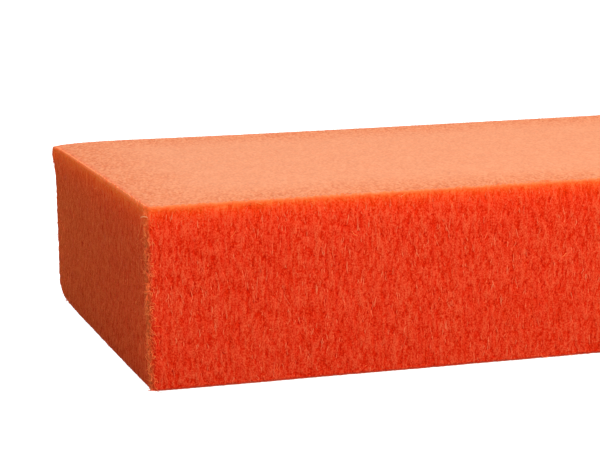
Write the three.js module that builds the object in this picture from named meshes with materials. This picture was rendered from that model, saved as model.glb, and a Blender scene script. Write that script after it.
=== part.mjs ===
// Slim double-sided nail buffer block.
//
// A die-cut slab of elastic foam with an abrasive sheet bonded over its upper face and another
// over its lower face. Each sheet is an adhesive film, a paper backing and a coat of grit set in
// resin. The four sides are bare cut foam, with the cut edges of the sheets flush above and below.
// Every layer is bonded over its whole area, so nothing moves.
//
// Units are millimetres, +Z is up and +X runs along the block. The origin is the centre of the
// underside, on the surface the block rests on.

import * as THREE from "three";

// Outside size of the block.
const LENGTH = 95;
const WIDTH = 35;
const HEIGHT = 12.5;

// Rounding of the four upright edges, and how many facets each one gets.
const CORNER_RADIUS = 0.5;
const CORNER_FACETS = 6;

// Layers of an abrasive sheet, from the foam outwards.
const ADHESIVE_THICKNESS = 0.08;
const BACKING_THICKNESS = 0.14;
const GRIT_THICKNESS = 0.18;
const SHEET_THICKNESS = ADHESIVE_THICKNESS + BACKING_THICKNESS + GRIT_THICKNESS;
const FOAM_THICKNESS = HEIGHT - 2 * SHEET_THICKNESS;

const foam = new THREE.MeshStandardMaterial({ color: "#e23c1c", roughness: 0.95, metalness: 0 });
const adhesive = new THREE.MeshStandardMaterial({ color: "#f2702f", roughness: 0.45, metalness: 0 });
const backing = new THREE.MeshStandardMaterial({ color: "#f4662c", roughness: 0.9, metalness: 0 });
const grit = new THREE.MeshStandardMaterial({ color: "#f9a57c", roughness: 0.85, metalness: 0 });

// The layers from the resting face upwards. The upper sheet mirrors the lower one.
const LAYERS = [
  { name: "lower_grit_coat", thickness: GRIT_THICKNESS, material: grit },
  { name: "lower_backing_sheet", thickness: BACKING_THICKNESS, material: backing },
  { name: "lower_adhesive_film", thickness: ADHESIVE_THICKNESS, material: adhesive },
  { name: "foam_core", thickness: FOAM_THICKNESS, material: foam },
  { name: "upper_adhesive_film", thickness: ADHESIVE_THICKNESS, material: adhesive },
  { name: "upper_backing_sheet", thickness: BACKING_THICKNESS, material: backing },
  { name: "upper_grit_coat", thickness: GRIT_THICKNESS, material: grit },
];

// The plan outline that the die cuts through all the layers at once.
function blockOutline() {
  const x = LENGTH / 2 - CORNER_RADIUS;
  const y = WIDTH / 2 - CORNER_RADIUS;
  const outline = new THREE.Shape();
  outline.absarc(x, y, CORNER_RADIUS, 0, Math.PI / 2);
  outline.absarc(-x, y, CORNER_RADIUS, Math.PI / 2, Math.PI);
  outline.absarc(-x, -y, CORNER_RADIUS, Math.PI, 1.5 * Math.PI);
  outline.absarc(x, -y, CORNER_RADIUS, 1.5 * Math.PI, 2 * Math.PI);
  outline.closePath();
  return outline;
}

// One layer: the outline extruded to the layer's thickness, with its underside at height bottom.
function layerMesh({ name, thickness, material }, bottom) {
  const geometry = new THREE.ExtrudeGeometry(blockOutline(), {
    depth: thickness,
    bevelEnabled: false,
    curveSegments: CORNER_FACETS,
  });
  const mesh = new THREE.Mesh(geometry, material);
  mesh.name = name;
  mesh.position.z = bottom;
  return mesh;
}

// All the layers, each standing on the one below.
function bufferBlock() {
  const block = new THREE.Group();
  let bottom = 0;
  for (const layer of LAYERS) {
    block.add(layerMesh(layer, bottom));
    bottom += layer.thickness;
  }
  return block;
}

export default bufferBlock();
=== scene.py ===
"""Looks of a slim foam nail buffer block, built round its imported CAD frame.

Everything is in metres, in the frame's own axes: X along the block, Y across it and Z up. Each layer
of the frame is replaced by a mesh that carries the real surface of its material: cut, open-celled
foam with a fuzz of torn cell walls, the pitted edges of paper and film, and coats of grit. Every
random draw is seeded, so each run builds the same block.
"""
import math

import bpy
import numpy as np
from mathutils import Matrix, Vector


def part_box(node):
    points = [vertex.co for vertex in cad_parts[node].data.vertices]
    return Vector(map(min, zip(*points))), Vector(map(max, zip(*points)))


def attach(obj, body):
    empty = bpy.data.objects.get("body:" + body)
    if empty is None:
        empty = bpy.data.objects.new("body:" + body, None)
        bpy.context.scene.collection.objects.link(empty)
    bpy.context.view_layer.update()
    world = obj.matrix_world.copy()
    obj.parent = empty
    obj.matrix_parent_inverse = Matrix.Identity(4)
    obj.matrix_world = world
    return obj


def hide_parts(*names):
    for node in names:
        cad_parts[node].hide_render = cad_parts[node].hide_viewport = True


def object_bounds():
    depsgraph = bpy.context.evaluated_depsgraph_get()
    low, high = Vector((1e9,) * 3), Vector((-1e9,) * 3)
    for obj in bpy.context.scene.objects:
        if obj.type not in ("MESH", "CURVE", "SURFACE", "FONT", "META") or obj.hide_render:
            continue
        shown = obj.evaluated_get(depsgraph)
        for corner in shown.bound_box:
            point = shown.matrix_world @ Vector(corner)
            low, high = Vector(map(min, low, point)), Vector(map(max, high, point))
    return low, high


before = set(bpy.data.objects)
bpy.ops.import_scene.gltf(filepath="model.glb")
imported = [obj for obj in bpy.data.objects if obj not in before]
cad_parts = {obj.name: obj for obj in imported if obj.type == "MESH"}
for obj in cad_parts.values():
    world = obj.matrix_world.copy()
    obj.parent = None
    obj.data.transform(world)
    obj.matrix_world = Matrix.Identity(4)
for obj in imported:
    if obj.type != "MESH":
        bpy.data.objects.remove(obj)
cad_bounds = [list(corner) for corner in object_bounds()]

MM = 0.001

# The block's plan, which every layer shares.
BLOCK_LOW, BLOCK_HIGH = (Vector(corner) for corner in cad_bounds)
BLOCK_SIZE = BLOCK_HIGH - BLOCK_LOW
CORNER_RADIUS = 0.35 * MM

# Cut foam: cells drawn out along Z, opened by the die into pits, which are flush with the outline at
# PIT_LEVEL of their depth. The stiff sheets cut cleaner: their pits have SHEET_PITS of the full depth
# up to SHEET_REACH from a face of the block, which grows to all of it at FOAM_REACH.
CELL_WIDTH = 0.24 * MM
CELL_HEIGHT = 0.36 * MM
PIT_DEPTH = 0.14 * MM
PIT_LEVEL = 0.55
SHEET_PITS = 0.35
SHEET_REACH = 0.2 * MM
FOAM_REACH = 0.8 * MM

# Spacing of the points of the cut sides' meshes, round the block and up the foam.
CUT_STEP = 0.115 * MM
CUT_ROW = 0.27 * MM

# The line of the cut: it wanders, and it rounds off at the block's corners. At the far left, the foam
# has swelled, the upper corner is squashed out and droops, and the lower one is pressed in.
WANDER_WIDTH = 4 * MM
WANDER_DEPTH = 0.03 * MM
CORNER_WEAR = 0.06 * MM
CORNER_REACH = 0.7 * MM
FLARE = 0.24 * MM
FLARE_HEIGHT = 3 * MM
FLARE_REACH = 9 * MM
DENT = 0.24 * MM
DENT_HEIGHT = 1.4 * MM
DENT_REACH = 4 * MM
SWELL = 0.13 * MM
SWELL_PLACE = 4 * MM
SWELL_REACH = 8 * MM
DROOP = 0.2 * MM
DROOP_REACH = 1.5 * MM

# Light that gets in round the upper rim shows in the sides: how much there is of red, green and blue
# at the rim, and how far down each fades. It fades no further than at GLOW_DEPTH.
GLOW = (0.28, 0.085, 0.008)
GLOW_FADE = (1.13 * MM, 0.4 * MM, 0.22 * MM)
GLOW_DEPTH = 4 * MM

# Paler foam: how pale it is under the upper rim, where it is painted light for the glow there, at the
# upright edges, where the foam is worn, and at the far left, and how far down, along the sides and
# along the ends that reaches.
RIM_PAINTED_GLOW = 0.5
EDGE_WEAR = 0.8
FAR_LEFT_PALENESS = 0.3
PAINTED_GLOW_DEPTH = 0.55 * MM
WORN_SIDE = 0.22 * MM
WORN_END = 1.4 * MM

# The grain of the cut shifts the depth below the rim, by which the glow and the wear go.
GRAIN_SHIFT = 0.15 * MM
GRAIN_SIZE = (0.2 * MM, 0.2 * MM, 0.6 * MM)

# Strands: torn cell walls that lie up and down the cut sides and end short of the upper face. They
# lean and wave along the side, their middles bow off it, and STRAND_FLATNESS is their height by their
# width.
STRAND_COUNT = 7500
STRAND_LENGTH = 0.7 * MM
STRAND_RADIUS = 0.034 * MM
STRAND_FLATNESS = 0.25
STRAND_LEAN = 0.16
STRAND_WAVE = 0.03 * MM
STRAND_BOW = 0.04 * MM
STRAND_TOP_GAP = 0.1 * MM

# Fuzz: loose, curled ends of foam. One lot stands off the near upright edges, one is strewn under the
# upper rim, and one lies on all the sides, with only SIDE_FUZZ_SHARE of its full density away from
# the upright edges. The first and the last thin out over FUZZ_EDGE along the sides, and over their
# own reach along the ends. Roots are FUZZ_ROOT deep. On the near half of the block, ends may rise
# past the upper face by FUZZ_RISE.
CORNER_FUZZ_COUNT = 1700
CORNER_FUZZ_REACH = 1.0 * MM
CORNER_FUZZ_LENGTH = 0.32 * MM
CORNER_FUZZ_LEAN = 0.6
RIM_FUZZ_COUNT = 1500
RIM_FUZZ_DEPTH = 0.2 * MM
SIDE_FUZZ_COUNT = 2300
SIDE_FUZZ_REACH = 8 * MM
SIDE_FUZZ_SHARE = 0.03
SIDE_FUZZ_LEAN = 0.15
FUZZ_EDGE = 0.4 * MM
FUZZ_ROOT = 0.05 * MM
FUZZ_LENGTH = 0.5 * MM
FUZZ_RADIUS = 0.026 * MM
FUZZ_POINTS = 6
FUZZ_RISE = 0.12 * MM

# Strands and fuzz take root at points this far apart along the outline.
ROOT_STEP = 0.01 * MM

# The loose flake: how far its middle hangs off the near left edge and below the upper face, and how
# large and how thick it is.
FLAKE_ASIDE = 0.15 * MM
FLAKE_DROP = 0.65 * MM
FLAKE_SIZE = 0.26 * MM
FLAKE_RADIUS = 0.045 * MM

# Grit coats: the pitch of the grains along X and Y, how much of it they stray by, how much their
# heights differ, how far in from the rim the cut moves them, and how far each coat's rim is tucked in.
GRAIN_PITCH = (0.13 * MM, 0.28 * MM)
GRAIN_STRAY = 0.32
GRAIN_HEIGHT = 0.08 * MM
RIM_REACH = 0.3 * MM
UPPER_TUCK = 0.06 * MM
LOWER_TUCK = 0.1 * MM

# The upper coat rolls over at its rim. The grains on the near half of the rim stand up in a burr, and
# are chipped down from it by different amounts.
ROLL_WIDTH = 0.8 * MM
ROLL_DROP = 0.03 * MM
RIM_BURR = 0.11 * MM
RIM_CHIP = 0.13 * MM

# The grains have their full height where they are wide open, and these shares of it where they are
# closed up and on the rim itself.
CLOSED_RELIEF = 0.6
RIM_RELIEF = 0.3

# The grains are open at the rim, with gaps painted dark for their shade, and close up inwards over a
# distance that drifts.
OPEN_AT_RIM = 0.9
OPEN_INSIDE = 0.2
OPEN_REACH = 8 * MM
OPEN_DRIFT = 1.5 * MM
OPEN_SIZE = 4 * MM

# The colour of a coat follows the height of its grains, darker where they lie lower, which paints the
# shade between them: how closely it does, and the one pale colour that the grains on the rim itself
# take, painted light that keeps the rim's facets turned from the lamps looking lit.
GRAIN_SHADE = 0.6
RIM_PAINTED_LIGHT = 0.8

# How far in from the rim a coat shows orange specks of its cut edge, and how much of that colour
# there is at the rim and on the cut wall under it.
SPECK_REACH = 0.7 * MM
SPECK_SHARE = 0.2
WALL_SHARE = 0.5

# The camera: where it looks from and its roll, in degrees, its lens, in millimetres, and how far off
# it stands and where it aims, in heights of the block from the foot of the near left edge.
CAMERA_AZIMUTH = -15.92
CAMERA_ELEVATION = 9.44
CAMERA_ROLL = -1.17
CAMERA_LENS = 133
CAMERA_DISTANCE = 11.93
AIM_ALONG = 0.842
AIM_UP = 0.848

# Each kind of random draw adds its own number to this.
SEED = 7


# Noise

def lattice_noise(points, seed):
    """Smooth random values from -1 to 1, with about one bump to each unit of length."""
    size = 256
    order = np.random.default_rng(seed).permutation(size)
    values = np.random.default_rng(seed + 1).uniform(-1, 1, size)
    cell = np.floor(points).astype(np.int64)
    share = points - cell
    ease = share * share * (3 - 2 * share)
    total = np.zeros(len(points))
    for step in np.ndindex(2, 2, 2):
        corner = (cell + step) % size
        hashed = order[(order[(order[corner[:, 0]] + corner[:, 1]) % size] + corner[:, 2]) % size]
        weight = np.prod(np.where(np.array(step) == 1, ease, 1 - ease), axis=1)
        total += weight * values[hashed]
    return total


def fractal_noise(points, seed, octaves):
    """Lattice noise with finer and fainter copies of itself added, still from about -1 to 1."""
    total = sum(lattice_noise(points * 2**k, seed + 10 * k) / 2**k for k in range(octaves))
    return total / (2 - 2 ** (1 - octaves))


def cell_depth(points, seed):
    """How deep each point is in its cell of a random foam: 0 on the wall between two cells."""
    size = 256
    order = np.random.default_rng(seed).permutation(size)
    centres = np.random.default_rng(seed + 1).uniform(0, 1, (size, 3))
    cell = np.floor(points).astype(np.int64)
    nearest = np.full(len(points), 9.0)
    second = np.full(len(points), 9.0)
    for step in np.ndindex(3, 3, 3):
        corner = cell + np.array(step) - 1
        wrapped = corner % size
        hashed = order[(order[(order[wrapped[:, 0]] + wrapped[:, 1]) % size] + wrapped[:, 2]) % size]
        distance = np.linalg.norm(corner + centres[hashed] - points, axis=1)
        second = np.minimum(second, np.maximum(nearest, distance))
        nearest = np.minimum(nearest, distance)
    return second - nearest


def smooth_step(low, high, value):
    """0 below low and 1 above high, with a smooth rise between them."""
    share = np.clip((value - low) / (high - low), 0, 1)
    return share * share * (3 - 2 * share)


# Meshes

def outline(step):
    """Points about step apart round the block's plan, anticlockwise, with each one's outward normal."""
    half = [BLOCK_SIZE.x / 2 - CORNER_RADIUS, BLOCK_SIZE.y / 2 - CORNER_RADIUS]
    arc = CORNER_RADIUS * math.pi / 2
    perimeter = 4 * (half[0] + half[1] + arc)
    travel = np.arange(round(perimeter / step)) * perimeter / round(perimeter / step)
    spots = np.zeros((len(travel), 2))
    normals = np.zeros((len(travel), 2))
    start = 0.0
    for side in range(4):
        along = np.array([round(math.cos(side * math.pi / 2)), round(math.sin(side * math.pi / 2))])
        out = np.array([along[1], -along[0]])
        run, reach = half[side % 2], half[1 - side % 2]
        straight = (travel >= start) & (travel < start + 2 * run)
        spots[straight] = out * reach + along * (travel[straight] - start - run)[:, None]
        normals[straight] = out
        turning = (travel >= start + 2 * run) & (travel < start + 2 * run + arc)
        angle = (travel[turning] - start - 2 * run) / CORNER_RADIUS
        spots[turning] = out * reach + along * run
        normals[turning] = np.outer(np.cos(angle), out) + np.outer(np.sin(angle), along)
        start += 2 * run + arc
    return spots + normals * CORNER_RADIUS, normals


def from_far_left(points):
    """How far points are from the block's far left upright edge."""
    return np.linalg.norm(points[:, :2] - (BLOCK_LOW.x, BLOCK_HIGH.y), axis=1)


def swelling(points):
    """How far the swollen foam at the far left lifts points of the block, most at the upper face.

    At the very corner it droops, which takes some of the lift away.
    """
    along = (points[:, 0] - BLOCK_LOW.x - SWELL_PLACE) / SWELL_REACH
    across = (points[:, 1] - BLOCK_LOW.y) / BLOCK_SIZE.y
    upward = (points[:, 2] - BLOCK_LOW.z) / BLOCK_SIZE.z
    droop = DROOP * np.exp(-from_far_left(points) / DROOP_REACH)
    return upward * (SWELL * np.clip(across, 0, 1) ** 2 / (1 + along**2) - droop)


def mesh_piece(name, points, faces, material, smooth=True):
    """A mesh object of the block, which rides on its only body.

    smooth is one value for the piece, or one for each face. End caps stay flat, and the edges of flat
    faces are sharp, so that no face's shading leans towards a neighbour's.
    """
    lifted = points.copy()
    lifted[:, 2] += swelling(points)
    mesh = bpy.data.meshes.new(name)
    mesh.from_pydata(lifted.tolist(), [], faces)
    corners = np.array([len(face) for face in faces])
    rounded = np.broadcast_to(smooth, len(faces)) & (corners < 5)
    mesh.polygons.foreach_set("use_smooth", rounded)
    edge_of_corner = np.zeros(len(mesh.loops), np.int32)
    mesh.loops.foreach_get("edge_index", edge_of_corner)
    sharp = np.zeros(len(mesh.edges), bool)
    sharp[edge_of_corner[~np.repeat(rounded, corners)]] = True
    mesh.edges.foreach_set("use_edge_sharp", sharp)
    mesh.materials.append(material)
    mesh.update()
    piece = bpy.data.objects.new(name, mesh)
    bpy.context.scene.collection.objects.link(piece)
    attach(piece, "root")
    return piece


def store(piece, name, values):
    """Keeps one number for each point of the piece, for its material to read."""
    attribute = piece.data.attributes.new(name, "FLOAT", "POINT")
    attribute.data.foreach_set("value", np.asarray(values, np.float32))


def wall_faces(rings, count):
    """Quads between stacked rings of count points each, facing out for anticlockwise rings."""
    ring, column = np.divmod(np.arange((rings - 1) * count), count)
    here = ring * count + column
    beside = ring * count + (column + 1) % count
    return np.stack([here, beside, beside + count, here + count], axis=1).tolist()


def closed_stack(rings, count):
    """The faces of a closed solid: its wall, and one flat face over each end."""
    under = list(range(count))[::-1]
    over = list(range((rings - 1) * count, rings * count))
    return wall_faces(rings, count) + [under, over]


# Materials

def new_material(name):
    """A material with a Principled node, and a function that adds further nodes to it."""
    material = bpy.data.materials.new(name)
    material.use_nodes = True
    tree = material.node_tree
    shader = tree.nodes["Principled BSDF"]

    def add(kind, inputs=None, **settings):
        node = tree.nodes.new(kind)
        for key, value in settings.items():
            setattr(node, key, value)
        for key, value in (inputs or {}).items():
            if isinstance(value, bpy.types.NodeSocket):
                tree.links.new(value, node.inputs[key])
            else:
                node.inputs[key].default_value = value
        return node

    return material, shader, add


def link(source, target):
    """Joins an output to an input of the same material."""
    source.id_data.links.new(source, target)


def stretched_noise(add, bump, detail):
    """Noise in the block's own space. Its bumps have the given size in millimetres along X, Y and Z."""
    place = add("ShaderNodeTexCoord").outputs["Object"]
    scale = tuple(1 / (size * MM) for size in bump)
    mapping = add("ShaderNodeMapping", {"Vector": place, "Scale": scale})
    inputs = {"Vector": mapping.outputs[0], "Scale": 1.0, "Detail": detail, "Roughness": 0.6}
    return add("ShaderNodeTexNoise", inputs).outputs["Fac"]


def ramp(add, factor, *stops):
    """A colour or grey ramp with (position, value) stops."""
    node = add("ShaderNodeValToRGB", {"Fac": factor})
    elements = node.color_ramp.elements
    while len(elements) < len(stops):
        elements.new(0.5)
    for element, (position, value) in zip(elements, stops):
        element.position = position
        element.color = (*value, 1) if isinstance(value, tuple) else (value, value, value, 1)
    return node.outputs["Color"]


def mix_colour(add, factor, first, second, blend="MIX"):
    """Two colours mixed by a factor."""
    node = add("ShaderNodeMix", data_type="RGBA", blend_type=blend)
    for index, value in ((0, factor), (6, first), (7, second)):
        if isinstance(value, bpy.types.NodeSocket):
            link(value, node.inputs[index])
        else:
            node.inputs[index].default_value = value if index == 0 else (*value, 1)
    return node.outputs[2]


def attribute_value(add, name):
    """A number that the mesh stores for each of its points."""
    return add("ShaderNodeAttribute", attribute_name=name).outputs["Fac"]


def cut_grain(add):
    """The fine upright grain of every cut side: the more of it, the paler."""
    grain = stretched_noise(add, (0.09, 0.09, 0.12), 2)
    strand = stretched_noise(add, (0.18, 0.18, 0.75), 1)
    inputs = {0: strand, 1: 0.45, 2: grain}
    return add("ShaderNodeMath", inputs, operation="MULTIPLY_ADD").outputs[0]


def cut_colour(add):
    """The colour of a cut side, and the shade that it follows: orange walls, and pits painted deeper
    red as their shade.
    """
    # Deeper pits are painted darker and redder: painted shade in the hollows, over the random grain.
    inputs = {0: attribute_value(add, "pit"), 1: -0.22, 2: cut_grain(add)}
    shade = add("ShaderNodeMath", inputs, operation="MULTIPLY_ADD").outputs[0]
    deep, middle, high = 0.36, 0.57, 0.84
    body = ramp(
        add,
        shade,
        (deep, (0.6, 0.004, 0.0)),
        (middle, (0.85, 0.019, 0.001)),
        (high, (1.0, 0.11, 0.04)),
    )
    broad = stretched_noise(add, (0.35, 0.35, 7), 2)
    streaks = ramp(add, broad, (0.3, (0.98, 0.75, 0.75)), (0.7, (1.0, 1.25, 1.25)))
    body = mix_colour(add, 1.0, body, streaks, "MULTIPLY")
    pale = ramp(add, shade, (deep, (0.62, 0.045, 0.007)), (high, (0.9, 0.21, 0.05)))
    # The pale mix is wear at the upright edges, and painted light under the upper rim.
    return mix_colour(add, attribute_value(add, "wear_and_painted_glow"), body, pale), shade


def rim_glow(add):
    """The light that leaves the sides under the upper rim, which reddens on its way down."""
    stops = []
    for share in (0, 0.03, 0.07, 0.15, 0.3, 0.6, 1):
        fade = [math.exp(-share * GLOW_DEPTH / reach) for reach in GLOW_FADE]
        stops.append((share, tuple(part * left for part, left in zip(GLOW, fade))))
    return ramp(add, attribute_value(add, "depth"), *stops)


def cut_side(name, roughness):
    """The cut side of a dyed layer, which scatters light like felt."""
    material, shader, add = new_material(name)
    colour, shade = cut_colour(add)
    link(colour, shader.inputs["Base Color"])
    link(rim_glow(add), shader.inputs["Emission Color"])
    shader.inputs["Emission Strength"].default_value = 1.0
    low, high = roughness
    link(ramp(add, shade, (0.3, low), (0.8, high)), shader.inputs["Roughness"])
    bump = add("ShaderNodeBump", {"Height": shade, "Strength": 0.7, "Distance": 0.08 * MM})
    link(bump.outputs[0], shader.inputs["Normal"])
    shader.inputs["Specular IOR Level"].default_value = 0.03
    shader.inputs["Sheen Weight"].default_value = 0.4
    shader.inputs["Sheen Roughness"].default_value = 0.5
    shader.inputs["Sheen Tint"].default_value = (1.0, 0.4, 0.08, 1)
    return material


def torn_material(name, dark, pale, through):
    """Torn cell walls: thinner than the foam behind them, so paler, and some light comes through."""
    material, shader, add = new_material(name)
    tone = stretched_noise(add, (0.4, 0.4, 0.4), 2)
    link(ramp(add, tone, (0.35, dark), (0.65, pale)), shader.inputs["Base Color"])
    link(ramp(add, tone, (0.3, 0.7), (0.7, 0.9)), shader.inputs["Roughness"])
    shader.inputs["Specular IOR Level"].default_value = 0.05
    shader.inputs["Emission Color"].default_value = (*pale, 1)
    shader.inputs["Emission Strength"].default_value = through
    return material


def grit_material():
    """Mineral grains in orange-tinted resin: pale, with gaps painted dark as shade, and orange where
    cut.
    """
    material, shader, add = new_material("grit_coat")
    fine = stretched_noise(add, (0.15, 0.55, 0.13), 2)
    broad = stretched_noise(add, (2.5, 2.5, 2.5), 3)
    grain = attribute_value(add, "grain")
    shade = add("ShaderNodeMath", {0: fine, 1: 0.4, 2: grain}, operation="MULTIPLY_ADD").outputs[0]
    smooth = ramp(add, shade, (0.15, (0.8, 0.295, 0.135)), (0.85, (0.92, 0.36, 0.18)))
    # Lower grains take the darker stops: painted shade between the grains.
    speckled = ramp(
        add,
        shade,
        (0.25, (0.66, 0.14, 0.037)),
        (0.45, (0.79, 0.218, 0.074)),
        (0.7, (0.88, 0.333, 0.152)),
    )
    colour = mix_colour(add, attribute_value(add, "open"), smooth, speckled)
    patches = ramp(add, broad, (0.3, (0.96, 0.94, 0.94)), (0.7, (1.0, 1.0, 1.0)))
    colour = mix_colour(add, 1.0, colour, patches, "MULTIPLY")
    edge, side = cut_colour(add)
    rim = attribute_value(add, "rim")
    frayed = add("ShaderNodeMath", {0: side, 1: 0.5, 2: rim}, operation="MULTIPLY_ADD").outputs[0]
    cut = ramp(add, frayed, (0.34, 0.0), (0.74, 1.0))
    link(mix_colour(add, cut, colour, edge), shader.inputs["Base Color"])
    wall = ramp(add, rim, (0.17, 0.0), (0.2, 1.0))
    link(mix_colour(add, wall, (0, 0, 0), rim_glow(add)), shader.inputs["Emission Color"])
    shader.inputs["Emission Strength"].default_value = 1.0
    link(ramp(add, fine, (0.25, 0.6), (0.75, 0.9)), shader.inputs["Roughness"])
    bump = add("ShaderNodeBump", {"Height": fine, "Strength": 0.4, "Distance": 0.03 * MM})
    link(bump.outputs[0], shader.inputs["Normal"])
    shader.inputs["Specular IOR Level"].default_value = 0.15
    return material


# Pieces of the block

def from_upright_edge(points):
    """How far along X and along Y points of the block's outline are from the nearest upright edge."""
    return np.maximum(np.array([BLOCK_SIZE.x, BLOCK_SIZE.y]) / 2 - np.abs(points[:, :2]), 0)


def edge_nearness(points, along_x, along_y):
    """1 on an upright edge, down to 0 at the given distances along the sides and the ends."""
    gap = from_upright_edge(points) / (along_x, along_y)
    return 1 - smooth_step(0, 1, np.linalg.norm(gap, axis=1))


def from_face(points):
    """How far points are from the nearer of the upper and the lower face."""
    return np.minimum(points[:, 2] - BLOCK_LOW.z, BLOCK_HIGH.z - points[:, 2])


def far_left_nearness(points, level, reach, height):
    """How near points on the sides are to a far left corner: 1 there, fading along and up or down."""
    fade = 1 - smooth_step(0, height, np.abs(points[:, 2] - level))
    return np.exp(-from_far_left(points) / reach) * fade


def cut_line(points):
    """How far the cut sides stand out of the block's plain outline at points on them."""
    wander = WANDER_DEPTH * lattice_noise(points / WANDER_WIDTH, SEED + 50)
    nearness = edge_nearness(points, CORNER_REACH, CORNER_REACH)
    wear = CORNER_WEAR * nearness * (1 - smooth_step(0, CORNER_REACH, from_face(points)))
    flare = FLARE * far_left_nearness(points, BLOCK_HIGH.z, FLARE_REACH, FLARE_HEIGHT)
    dent = DENT * far_left_nearness(points, BLOCK_LOW.z, DENT_REACH, DENT_HEIGHT)
    return wander + flare - wear - dent


def from_upper_rim(points):
    """How far points are below the upper rim, give or take the grain of the cut."""
    shift = GRAIN_SHIFT * lattice_noise(points / GRAIN_SIZE, SEED + 55)
    return BLOCK_HIGH.z - points[:, 2] + shift


def wear_and_painted_glow_amount(points):
    """How pale the sides are, from 0 to 1: painted light under the rim, worn edges, the far left."""
    # The band under the upper rim is painted light: paler foam that stands for the glow there.
    rim = RIM_PAINTED_GLOW * (1 - smooth_step(0, PAINTED_GLOW_DEPTH, from_upper_rim(points)))
    # Paler towards the far left upright edge.
    far_left_pale = FAR_LEFT_PALENESS * (1 - smooth_step(0, BLOCK_SIZE.y, from_far_left(points)))
    edge = EDGE_WEAR * edge_nearness(points, WORN_SIDE, WORN_END)
    return np.maximum(np.maximum(rim, far_left_pale), edge)


def pits(points):
    """How deep the cut foam's pits are at points on its sides, from 0 on a cell wall to 1."""
    places = points / (CELL_WIDTH, CELL_WIDTH, CELL_HEIGHT)
    wobble = np.stack([lattice_noise(places * 0.8, SEED + k) for k in range(3)], axis=1)
    walls = smooth_step(0.02, 0.5, cell_depth(places + 0.45 * wobble, SEED + 20))
    torn = fractal_noise(places * 1.1, SEED + 30, 2)
    return np.clip(0.7 * walls + 0.3 * (0.5 + torn), 0, 1)


def cut_surface(points):
    """How far the cut sides stand out at points of the plain outline, and how deep their pits are."""
    pit = pits(points)
    foam = smooth_step(SHEET_REACH, FOAM_REACH, from_face(points))
    share = SHEET_PITS + (1 - SHEET_PITS) * foam
    return cut_line(points) - PIT_DEPTH * share * (pit - PIT_LEVEL), pit


def store_cut(piece, points, pit):
    """Keeps what the colour of a cut side depends on."""
    store(piece, "pit", pit)
    store(piece, "depth", np.clip(from_upper_rim(points) / GLOW_DEPTH, 0, 1))
    store(piece, "wear_and_painted_glow", wear_and_painted_glow_amount(points))


def cut_stack(name, levels, material):
    """One closed layer of the block, as rings at the given heights, with a wall that looks cut."""
    spots, normals = outline(CUT_STEP)
    points = np.column_stack([np.tile(spots, (len(levels), 1)), np.repeat(levels, len(spots))])
    stand, pit = cut_surface(points)
    points[:, :2] += np.tile(normals, (len(levels), 1)) * stand[:, None]
    piece = mesh_piece(name, points, closed_stack(len(levels), len(spots)), material)
    store_cut(piece, points, pit)
    return piece


def foam_core(material):
    """The foam slab, with its four cut sides modelled cell by cell."""
    low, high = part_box("foam_core")
    levels = np.linspace(low.z, high.z, round((high.z - low.z) / CUT_ROW) + 1)
    piece = cut_stack("foam_core_cut", levels, material)
    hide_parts("foam_core")


def tubes(name, paths, across, rise, material):
    """One mesh of thin three-sided strips along rows of points.

    across and rise are vectors at each point: half the strip's width and half its height there.
    """
    count, length = paths.shape[:2]
    turns = (np.arange(3) * 2 * math.pi / 3)[:, None]
    section = rise[:, :, None] * np.cos(turns) + across[:, :, None] * np.sin(turns)
    points = paths[:, :, None] + section
    index = np.arange(count * length * 3).reshape(count, length, 3)
    beside = np.roll(index, -1, axis=2)
    walls = np.stack([index[:, :-1], beside[:, :-1], beside[:, 1:], index[:, 1:]], axis=-1)
    faces = walls.reshape(-1, 4).tolist() + index[:, 0, ::-1].tolist() + index[:, -1].tolist()
    piece = mesh_piece(name, points.reshape(-1, 3), faces, material, smooth=False)


def hairs(name, paths, radii, material):
    """One mesh of thin three-sided hairs, with the given radius at each point of their paths."""
    tangent = np.gradient(paths, axis=1)
    elsewhere = [0.31, 0.52, 0.79]  # any direction that no hair takes
    across = np.cross(tangent, elsewhere)
    rise = np.cross(tangent, across)
    across *= (radii / np.linalg.norm(across, axis=2))[..., None]
    rise *= (radii / np.linalg.norm(rise, axis=2))[..., None]
    tubes(name, paths, across, rise, material)


def loose_flake(material):
    """One crescent of torn foam that hangs off the near left edge, just under its upper end."""
    middle = np.array([BLOCK_LOW.x - FLAKE_ASIDE, BLOCK_LOW.y, BLOCK_HIGH.z - FLAKE_DROP])
    turn = np.linspace(-1.2, 1.2, 9)[:, None]
    arc = np.sin(turn) * [1.0, -0.3, 0] + np.cos(turn) * [0, 0, 0.7] - [0, 0, 0.5]
    thick = FLAKE_RADIUS * np.cos(np.linspace(-1.3, 1.3, 9))
    hairs("foam_core_flake", (middle + FLAKE_SIZE * arc)[None], thick[None], material)


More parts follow.
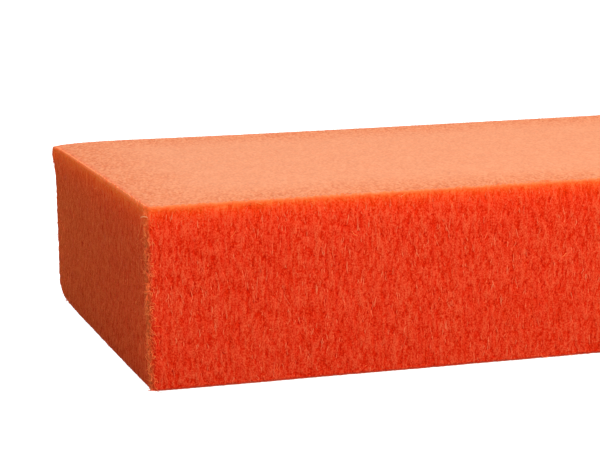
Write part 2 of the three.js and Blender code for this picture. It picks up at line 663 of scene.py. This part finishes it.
def foam_strands(material):
    """Torn cell walls that lie up and down the cut sides, bowed a little way off them."""
    rng = np.random.default_rng(SEED + 80)
    spots, normals = outline(ROOT_STEP)
    share = np.linspace(0, 1, 5)
    length = STRAND_LENGTH * rng.uniform(0.45, 1.6, STRAND_COUNT)
    start = rng.integers(0, len(spots), STRAND_COUNT)
    foot = rng.uniform(BLOCK_LOW.z + STRAND_RADIUS, BLOCK_HIGH.z - STRAND_TOP_GAP - length)
    lean, bend = rng.normal(0, STRAND_LEAN, (2, STRAND_COUNT, 1))
    wave = rng.normal(0, STRAND_WAVE, (STRAND_COUNT, len(share)))
    travel = length[:, None] * (lean * share + 0.7 * bend * share * (1 - share)) + wave
    index = (start[:, None] + np.round(travel / ROOT_STEP).astype(int)) % len(spots)
    height = foot[:, None] + length[:, None] * share
    place = np.concatenate([spots[index], height[..., None]], axis=2)
    bow = rng.uniform(0.3, 1.0, (STRAND_COUNT, 1)) * 4 * share * (1 - share)
    lift = cut_line(place.reshape(-1, 3)).reshape(index.shape) + STRAND_BOW * bow
    place[..., :2] += normals[index] * lift[..., None]
    taper = 0.35 + 0.65 * np.sin(math.pi * share)
    thick = (STRAND_RADIUS * rng.uniform(0.6, 1.3, (STRAND_COUNT, 1)) * taper)[..., None]
    out = np.concatenate([normals[index], np.zeros((*index.shape, 1))], axis=2)
    along = np.cross([0, 0, 1], out)
    tubes("foam_core_strands", place, along * thick, out * STRAND_FLATNESS * thick, material)


def fuzz_roots(rng):
    """Where the loose ends grow and which way is out: corner ones first, then rim, then side ones."""
    spots, normals = outline(ROOT_STEP)
    corner = edge_nearness(spots, FUZZ_EDGE, CORNER_FUZZ_REACH) * (spots[:, 1] < 0)
    side = SIDE_FUZZ_SHARE + edge_nearness(spots, FUZZ_EDGE, SIDE_FUZZ_REACH)
    chosen = np.concatenate([
        rng.choice(len(spots), CORNER_FUZZ_COUNT, p=corner / corner.sum()),
        rng.integers(0, len(spots), RIM_FUZZ_COUNT),
        rng.choice(len(spots), SIDE_FUZZ_COUNT, p=side / side.sum()),
    ])
    height = rng.uniform(BLOCK_LOW.z, BLOCK_HIGH.z, len(chosen))
    rim = slice(CORNER_FUZZ_COUNT, CORNER_FUZZ_COUNT + RIM_FUZZ_COUNT)
    height[rim] = BLOCK_HIGH.z - FUZZ_ROOT - rng.exponential(RIM_FUZZ_DEPTH, RIM_FUZZ_COUNT)
    root = np.column_stack([spots[chosen], height])
    out = np.column_stack([normals[chosen], np.zeros(len(chosen))])
    return root + out * (cut_line(root) - FUZZ_ROOT)[:, None], out


def curled_paths(rng, root, out):
    """Arcs that grow from the roots: mostly along the sides, but at the corners well off them."""
    count = len(root)
    along = np.cross([0, 0, 1], out)
    spin = rng.uniform(0, 2 * math.pi, (count, 1))
    at_corner = np.arange(count)[:, None] < CORNER_FUZZ_COUNT
    lean = np.where(at_corner, CORNER_FUZZ_LEAN, SIDE_FUZZ_LEAN)
    grow = lean * out + np.cos(spin) * along + np.sin(spin) * [0, 0, 1]
    grow /= np.linalg.norm(grow, axis=1, keepdims=True)
    curl = np.cross(grow, out) + rng.normal(0, 0.3, (count, 1)) * along
    mean = np.where(at_corner, CORNER_FUZZ_LENGTH, FUZZ_LENGTH)
    length = mean[..., None] * rng.gamma(4, 0.25, (count, 1, 1))
    sweep = rng.uniform(0.5, 3.5, (count, 1, 1))
    angle = sweep * np.linspace(0, 1, FUZZ_POINTS)[:, None]
    bow = grow[:, None] * np.sin(angle) + curl[:, None] * (1 - np.cos(angle))
    return root[:, None] + bow * length / sweep


def foam_fuzz(material):
    """Loose curled ends on the sides, thickest along the upright edges and under the upper rim."""
    rng = np.random.default_rng(SEED + 81)
    root, out = fuzz_roots(rng)
    paths = curled_paths(rng, root, out)
    lowest = BLOCK_LOW.z + 2 * FUZZ_RADIUS
    highest = BLOCK_HIGH.z + np.where(root[:, 1] < 0, FUZZ_RISE, -2 * FUZZ_RADIUS)
    paths[..., 2] = np.clip(paths[..., 2], lowest, highest[:, None])
    taper = np.linspace(1.1, 0.4, FUZZ_POINTS)
    thick = FUZZ_RADIUS * rng.uniform(0.6, 1.4, (len(root), 1)) * taper
    hairs("foam_core_fuzz", paths, thick, material)


def sheet_layer(name, node, material):
    """A film or paper layer of a sheet, cut in one stroke with the foam, so pitted like it."""
    low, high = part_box(node)
    piece = cut_stack(name, np.linspace(low.z, high.z, 3), material)
    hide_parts(node)


def round_corners(points):
    """Moves points of a plain rectangular grid so that its corners take the block's rounding."""
    inner = np.array([BLOCK_SIZE.x / 2 - CORNER_RADIUS, BLOCK_SIZE.y / 2 - CORNER_RADIUS])
    over = np.maximum(np.abs(points) - inner, 0) / CORNER_RADIUS
    eased = over * np.sqrt(1 - over[:, ::-1] ** 2 / 2)
    return np.where(over > 0, np.sign(points) * (inner + eased * CORNER_RADIUS), points)


def nearest_rim(points):
    """How far in from the block's plain outline points on its faces are, and which way out it is."""
    half = np.array([BLOCK_SIZE.x, BLOCK_SIZE.y]) / 2 - CORNER_RADIUS
    over = np.abs(points) - half
    past = np.maximum(over, 0)
    toward = np.where(past.any(axis=1)[:, None], past, over == over.max(axis=1)[:, None])
    toward = toward / np.linalg.norm(toward, axis=1, keepdims=True)
    outside = np.linalg.norm(past, axis=1) + np.minimum(over.max(axis=1), 0)
    return CORNER_RADIUS - outside, toward * np.sign(points)


def grain_grid():
    """A point for each grain of a coat, their numbers by column and row, and those round the rim."""
    cells = (round(BLOCK_SIZE.x / GRAIN_PITCH[0]), round(BLOCK_SIZE.y / GRAIN_PITCH[1]))
    x = np.linspace(-BLOCK_SIZE.x / 2, BLOCK_SIZE.x / 2, cells[0] + 1)
    y = np.linspace(-BLOCK_SIZE.y / 2, BLOCK_SIZE.y / 2, cells[1] + 1)
    plan = round_corners(np.stack(np.meshgrid(x, y, indexing="ij"), axis=-1).reshape(-1, 2))
    index = np.arange(len(plan)).reshape(cells[0] + 1, cells[1] + 1)
    ring = np.concatenate([index[:-1, 0], index[-1, :-1], index[:0:-1, -1], index[0, :0:-1]])
    return plan, index, ring


def coat_faces(index, ring, up):
    """The faces of a closed coat: quads between grains, then its wall, then one flat face inside.

    Also says which of them are smooth: all but the quads between grains.
    """
    quads = np.stack([index[:-1, :-1], index[1:, :-1], index[1:, 1:], index[:-1, 1:]], axis=-1)
    quads = quads.reshape(-1, 4).tolist()
    under = np.arange(index.size, index.size + len(ring))
    walls = np.stack([under, np.roll(under, -1), np.roll(ring, -1), ring], axis=1)
    faces = quads + walls.tolist() + [under[::-1].tolist()]
    if up < 0:
        faces = [face[::-1] for face in faces]
    return faces, np.arange(len(faces)) >= len(quads)


def openness(rim, distance):
    """How open the grit is at points with the given places on the rim and distances in from it."""
    drifting = distance + OPEN_DRIFT * lattice_noise(rim / OPEN_SIZE, SEED + 95)
    return OPEN_AT_RIM - (OPEN_AT_RIM - OPEN_INSIDE) * smooth_step(0, OPEN_REACH, drifting)


def sinking(plan, edge, distance, opened, grain, up):
    """How far the grains lie below the outer face of their coat. The lower coat's never pass it."""
    middle = 0.5 if up > 0 else 1
    relief = np.where(edge, RIM_RELIEF, CLOSED_RELIEF + (1 - CLOSED_RELIEF) * opened)
    sunk = GRAIN_HEIGHT * relief * (middle - grain)
    if up > 0:
        sunk = np.where(edge & (plan[:, 1] < 0), RIM_CHIP * grain - RIM_BURR, sunk)
        sunk += ROLL_DROP * np.clip(1 - distance / ROLL_WIDTH, 0, 1) ** 2
    return sunk


def grit_coat(name, node, up, material):
    """A coat of grains on one face of the block: up is 1 for the upper coat and -1 for the lower."""
    low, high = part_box(node)
    inside, outside = (low.z, high.z) if up > 0 else (high.z, low.z)
    rng = np.random.default_rng(SEED + 90 + up)
    plan, index, ring = grain_grid()
    edge = np.isin(np.arange(len(plan)), ring)
    distance, toward = nearest_rim(plan)
    stray = rng.uniform(-GRAIN_STRAY, GRAIN_STRAY, plan.shape) * GRAIN_PITCH
    plan += np.where(edge[:, None], 0, stray)
    rim = np.column_stack([plan + toward * distance[:, None], np.full(len(plan), outside)])
    stand, pit = cut_surface(rim)
    tuck = UPPER_TUCK if up > 0 else LOWER_TUCK
    plan += toward * ((stand - tuck) * np.exp(-distance / RIM_REACH))[:, None]
    grain = rng.beta(1.6, 1.6, len(plan))
    opened = openness(rim, distance)
    sunk = sinking(plan, edge, distance, opened, grain, up)
    surface = np.column_stack([plan, outside - up * sunk])
    bottom = np.column_stack([plan[ring] + toward[ring] * tuck, np.full(len(ring), inside)])
    points = np.concatenate([surface, bottom])
    faces, smooth = coat_faces(index, ring, up)
    piece = mesh_piece(name, points, faces, material, smooth)
    # The rim's grains all take one pale colour: painted light.
    shade = GRAIN_SHADE * np.where(edge, RIM_PAINTED_LIGHT, grain)
    specks = SPECK_SHARE * (1 - smooth_step(0, SPECK_REACH, distance))
    store(piece, "grain", np.concatenate([shade, shade[ring]]))
    store(piece, "rim", np.concatenate([specks, np.full(len(ring), WALL_SHARE)]))
    store(piece, "open", np.concatenate([opened, opened[ring]]))
    store_cut(piece, points, np.concatenate([pit, pit[ring]]))
    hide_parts(node)


# Stage

def floor():
    """A plain floor that shines to the camera only, so that it looks white and shows no shadow."""
    size = 3.0
    mesh = bpy.data.meshes.new("studio_floor")
    corners = [(-size, -size, 0), (size, -size, 0), (size, size, 0), (-size, size, 0)]
    mesh.from_pydata(corners, [], [(0, 1, 2, 3)])
    material, shader, add = new_material("floor_paper")
    shader.inputs["Base Color"].default_value = (0.5, 0.5, 0.5, 1)
    shader.inputs["Roughness"].default_value = 0.9
    shader.inputs["Specular IOR Level"].default_value = 0.1
    shader.inputs["Emission Color"].default_value = (1, 1, 1, 1)
    link(add("ShaderNodeLightPath").outputs["Is Camera Ray"], shader.inputs["Emission Strength"])
    mesh.materials.append(material)
    plane = bpy.data.objects.new("studio_floor", mesh)
    bpy.context.scene.collection.objects.link(plane)


def outward(azimuth, elevation):
    """The direction from the block to something at the given angles, in degrees."""
    turn, lift = math.radians(azimuth), math.radians(elevation)
    return Vector((math.sin(turn) * math.cos(lift), -math.cos(turn) * math.cos(lift), math.sin(lift)))


def softbox(name, azimuth, elevation, distance, size, brightness):
    """A square area light that faces the block. Brightness is the light it gives a white card there."""
    back = outward(azimuth, elevation)
    data = bpy.data.lights.new(name, "AREA")
    data.shape = "SQUARE"
    data.size = size
    data.energy = brightness * (math.pi * distance) ** 2
    light = bpy.data.objects.new(name, data)
    light.location = Vector((0, 0, BLOCK_HIGH.z / 2)) + back * distance
    light.rotation_mode = "QUATERNION"
    light.rotation_quaternion = (-back).to_track_quat("-Z", "Y")
    light.visible_camera = False
    bpy.context.scene.collection.objects.link(light)


def surroundings(strength):
    """A white backdrop that gives the block only the given strength of light."""
    world = bpy.data.worlds.new("studio")
    world.use_nodes = True
    tree = world.node_tree
    background = tree.nodes["Background"]
    background.inputs["Color"].default_value = (1, 1, 1, 1)
    seen = tree.nodes.new("ShaderNodeLightPath")
    brighter = tree.nodes.new("ShaderNodeMath")
    brighter.operation = "MAXIMUM"
    brighter.inputs[1].default_value = strength
    tree.links.new(seen.outputs["Is Camera Ray"], brighter.inputs[0])
    tree.links.new(brighter.outputs[0], background.inputs["Strength"])
    bpy.context.scene.world = world


def camera():
    """A long lens, low over the near left corner, with the block running out of the view."""
    aim = Vector((BLOCK_LOW.x + AIM_ALONG * BLOCK_SIZE.z, BLOCK_LOW.y, AIM_UP * BLOCK_SIZE.z))
    back = outward(CAMERA_AZIMUTH, CAMERA_ELEVATION)
    data = bpy.data.cameras.new("camera")
    data.sensor_width = 36
    data.lens = CAMERA_LENS
    data.clip_start = 0.01
    data.clip_end = 20
    eye = bpy.data.objects.new("camera", data)
    place = Matrix.Translation(aim + back * CAMERA_DISTANCE * BLOCK_SIZE.z)
    level = (-back).to_track_quat("-Z", "Y").to_matrix().to_4x4()
    eye.matrix_world = place @ level @ Matrix.Rotation(math.radians(CAMERA_ROLL), 4, "Z")
    bpy.context.scene.collection.objects.link(eye)
    bpy.context.scene.camera = eye


camera()
bpy.context.scene.view_settings.view_transform = "Standard"
floor()
surroundings(strength=0.08)
softbox("key_light", azimuth=15, elevation=38, distance=0.2, size=0.15, brightness=0.87)
softbox("back_light", azimuth=180, elevation=55, distance=0.45, size=0.32, brightness=0.87)
softbox("edge_light", azimuth=-45, elevation=20, distance=0.3, size=0.15, brightness=0.07)
softbox("fill_light", azimuth=-130, elevation=15, distance=0.3, size=0.25, brightness=0.165)

foam_core(cut_side("cut_foam", roughness=(0.85, 1.0)))
foam_strands(torn_material("torn_walls", (1.0, 0.1, 0.035), (1.0, 0.22, 0.09), through=0.03))
foam_fuzz(torn_material("torn_ends", (0.95, 0.12, 0.028), (1.0, 0.27, 0.08), through=0.13))
loose_flake(torn_material("torn_flake", (1.0, 0.3, 0.12), (1.0, 0.42, 0.2), through=0.0))
grit = grit_material()
paper = cut_side("backing_paper", roughness=(0.8, 0.95))
glue = cut_side("cured_adhesive", roughness=(0.5, 0.7))
for side, up in (("upper", 1), ("lower", -1)):
    sheet_layer(f"{side}_adhesive_edge", f"{side}_adhesive_film", glue)
    sheet_layer(f"{side}_backing_edge", f"{side}_backing_sheet", paper)
    grit_coat(f"{side}_grit_grains", f"{side}_grit_coat", up, grit)
